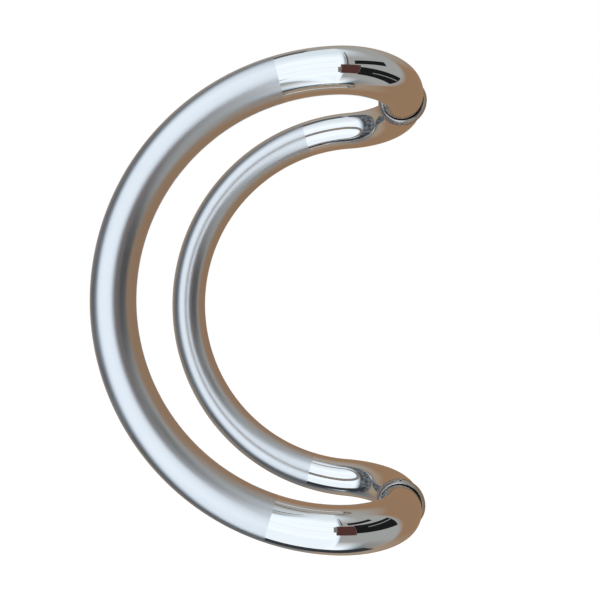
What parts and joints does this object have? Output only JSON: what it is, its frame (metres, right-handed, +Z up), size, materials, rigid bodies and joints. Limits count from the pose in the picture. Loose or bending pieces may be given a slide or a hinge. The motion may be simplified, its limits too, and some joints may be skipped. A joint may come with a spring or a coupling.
{
  "type": "glass door pull handle",
  "caption": "Back-to-back half-moon tube pull handles for a glass door, with satin grips, mirror-polished ends, flanged joints, grub screws and through studs.",
  "frame": {"origin": "midway between the two fixings, in the mid-plane where the front and rear halves meet", "axes": "+Z up along the line of the two fixings, +Y from the front handle to the rear one, normal to the door glass, and the grips bow out towards -X"},
  "size_m": [0.2269, 0.1644, 0.336],
  "materials": {
    "satin_stainless": "satin grip with mirror-polished ends",
    "turned_stainless": "polished",
    "flange_stainless": "polished",
    "gasket": "matt",
    "screw_steel": "plain"
  },
  "bodies": {
    "root": {"front_handle_tube": "satin_stainless", "rear_handle_tube": "satin_stainless", "top_front_plug": "turned_stainless", "bottom_front_plug": "turned_stainless", "top_spigot": "flange_stainless", "bottom_spigot": "flange_stainless", "top_grub_screw": "screw_steel", "bottom_grub_screw": "screw_steel", "top_front_gasket": "gasket", "bottom_front_gasket": "gasket", "top_rear_gasket": "gasket", "bottom_rear_gasket": "gasket", "top_rear_flange": "flange_stainless", "bottom_rear_flange": "flange_stainless", "top_rear_plug": "turned_stainless", "bottom_rear_plug": "turned_stainless", "top_stud": "screw_steel", "bottom_stud": "screw_steel"}
  },
  "joints": []
}
